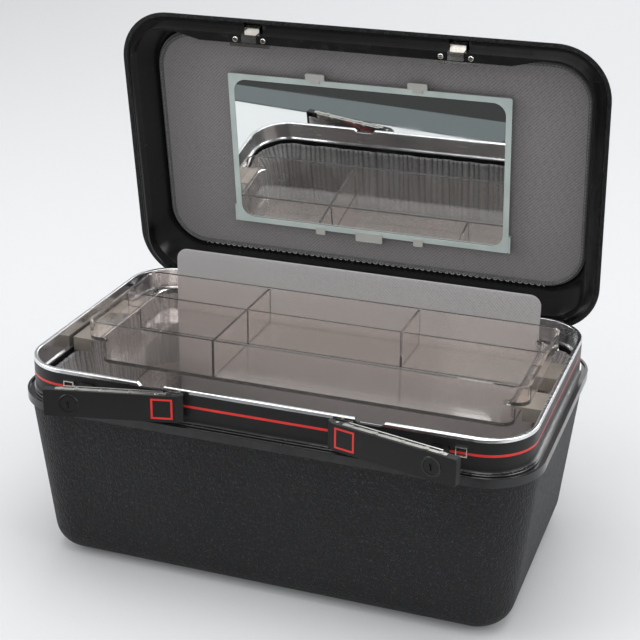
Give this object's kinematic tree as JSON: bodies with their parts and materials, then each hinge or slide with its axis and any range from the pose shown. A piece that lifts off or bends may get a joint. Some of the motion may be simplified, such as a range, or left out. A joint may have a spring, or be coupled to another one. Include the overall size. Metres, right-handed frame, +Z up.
{
  "type": "make-up storage case",
  "caption": "Hard-sided make-up storage case with a hinged mirror lid, lift-out divided tray, gathered lining pockets, swinging front latches and a folding carry handle.",
  "frame": {"origin": "centre of the case's footprint, on the surface it stands on", "axes": "+Z up, -Y the front with the latches, +X the right-hand side seen from the front"},
  "size_m": [0.3562, 0.2772, 0.3479],
  "materials": {
    "charcoal_shell": "fine pebbled charcoal moulding with pale specks",
    "black_trim": "glossy black moulding with light scuffs",
    "satin_black": "satin black",
    "red_stripe": "glossy red line",
    "bright_alloy": "polished aluminium",
    "nickel": "polished nickel plate",
    "grey_lining": "soft grey lining cloth",
    "grey_board": "grey cloth over board",
    "beige_plastic": "beige grey moulding",
    "smoky_clear": "smoky clear plastic",
    "mirror_silver": "silvered glass",
    "mirror_edge": "pale grey green edge",
    "clip_grey": "pale grey moulding",
    "dark_board": "dark board",
    "grip_black": "textured black grip",
    "foot_rubber": "black rubber"
  },
  "bodies": {
    "base": {"base_shell": "charcoal_shell", "bumper_rail": "black_trim", "rail_bead": "bright_alloy", "valance_band": "satin_black", "pinstripe": "red_stripe", "rim_trim": "bright_alloy", "lining_bag": "grey_lining", "floor_pad": "grey_lining", "gathered_pocket_front": "grey_lining", "gathered_pocket_back": "grey_lining", "gathered_pocket_left": "grey_lining", "gathered_pocket_right": "grey_lining", "back_panel": "grey_board", "tray_support_left": "beige_plastic", "tray_support_right": "beige_plastic", "base_hinge_leaves": "nickel", "hinge_rivets": "nickel", "hinge_pins": "nickel", "latch_staples": "nickel", "latch_keeper_tabs": "black_trim", "latch_bracket_left": "nickel", "latch_bracket_right": "nickel", "latch_pin_left": "nickel", "latch_pin_right": "nickel"},
    "lid": {"lid_shell": "charcoal_shell", "lid_frame": "black_trim", "lid_lining": "grey_lining", "lid_piping": "grey_lining", "catch_hooks": "nickel", "catch_rivets": "nickel", "catch_backing_plates": "nickel", "lid_hinge_leaves": "nickel", "mirror_pivot_ears": "nickel", "mirror_bumpers": "foot_rubber", "handle_brackets": "black_trim", "handle_pins": "nickel"},
    "mirror": {"mirror_glass": "mirror_silver", "mirror_border": "mirror_edge", "mirror_backing": "dark_board", "mirror_top_clips": "clip_grey", "mirror_foot_clips": "clip_grey", "mirror_tab": "clip_grey", "mirror_corner_lips": "mirror_edge"},
    "handle": {"handle": "grip_black"},
    "tray": {"tray": "smoky_clear"},
    "latch_left": {"latch_cover_left": "satin_black", "latch_square_inlay_left": "red_stripe", "latch_lever_left": "nickel", "latch_rivets_left": "nickel", "lock_ring_left": "black_trim"},
    "lock_left": {"lock_cylinder_left": "satin_black"},
    "latch_right": {"latch_cover_right": "satin_black", "latch_square_inlay_right": "red_stripe", "latch_lever_right": "nickel", "latch_rivets_right": "nickel", "lock_ring_right": "black_trim"},
    "lock_right": {"lock_cylinder_right": "satin_black"}
  },
  "joints": [
    {"name": "lid_hinge", "type": "hinge", "parent": "base", "child": "lid", "pos_m": [0, 0.1, 0.1422], "axis": [1, 0, 0], "range_deg": [0, 82.4]},
    {"name": "tray_lift", "type": "slide", "parent": "base", "child": "tray", "axis": [0, 0, 1], "range_m": [0, 0.12]},
    {"name": "mirror_tilt", "type": "hinge", "parent": "lid", "child": "mirror", "pos_m": [0.002, 0.10573, 0.30035], "axis": [1, 0, 0], "range_deg": [-35, 0]},
    {"name": "handle_fold", "type": "hinge", "parent": "lid", "child": "handle", "pos_m": [0, 0.13881, 0.24827], "axis": [1, 0, 0], "range_deg": [0, 90]},
    {"name": "latch_right_swing", "type": "hinge", "parent": "base", "child": "latch_right", "pos_m": [0.055, -0.10685, 0.13535], "axis": [0, 0, 1], "range_deg": [0, 13.2]},
    {"name": "lock_right_turn", "type": "hinge", "parent": "latch_right", "child": "lock_right", "pos_m": [0.12029, -0.12627, 0.13535], "axis": [-0.2284, -0.9736, 0], "range_deg": [0, 90]},
    {"name": "latch_left_swing", "type": "hinge", "parent": "base", "child": "latch_left", "pos_m": [-0.055, -0.10685, 0.13535], "axis": [0, 0, -1], "range_deg": [0, 13.2]},
    {"name": "lock_left_turn", "type": "hinge", "parent": "latch_left", "child": "lock_left", "pos_m": [-0.12029, -0.12627, 0.13535], "axis": [0.2284, -0.9736, 0], "range_deg": [0, 90]}
  ]
}
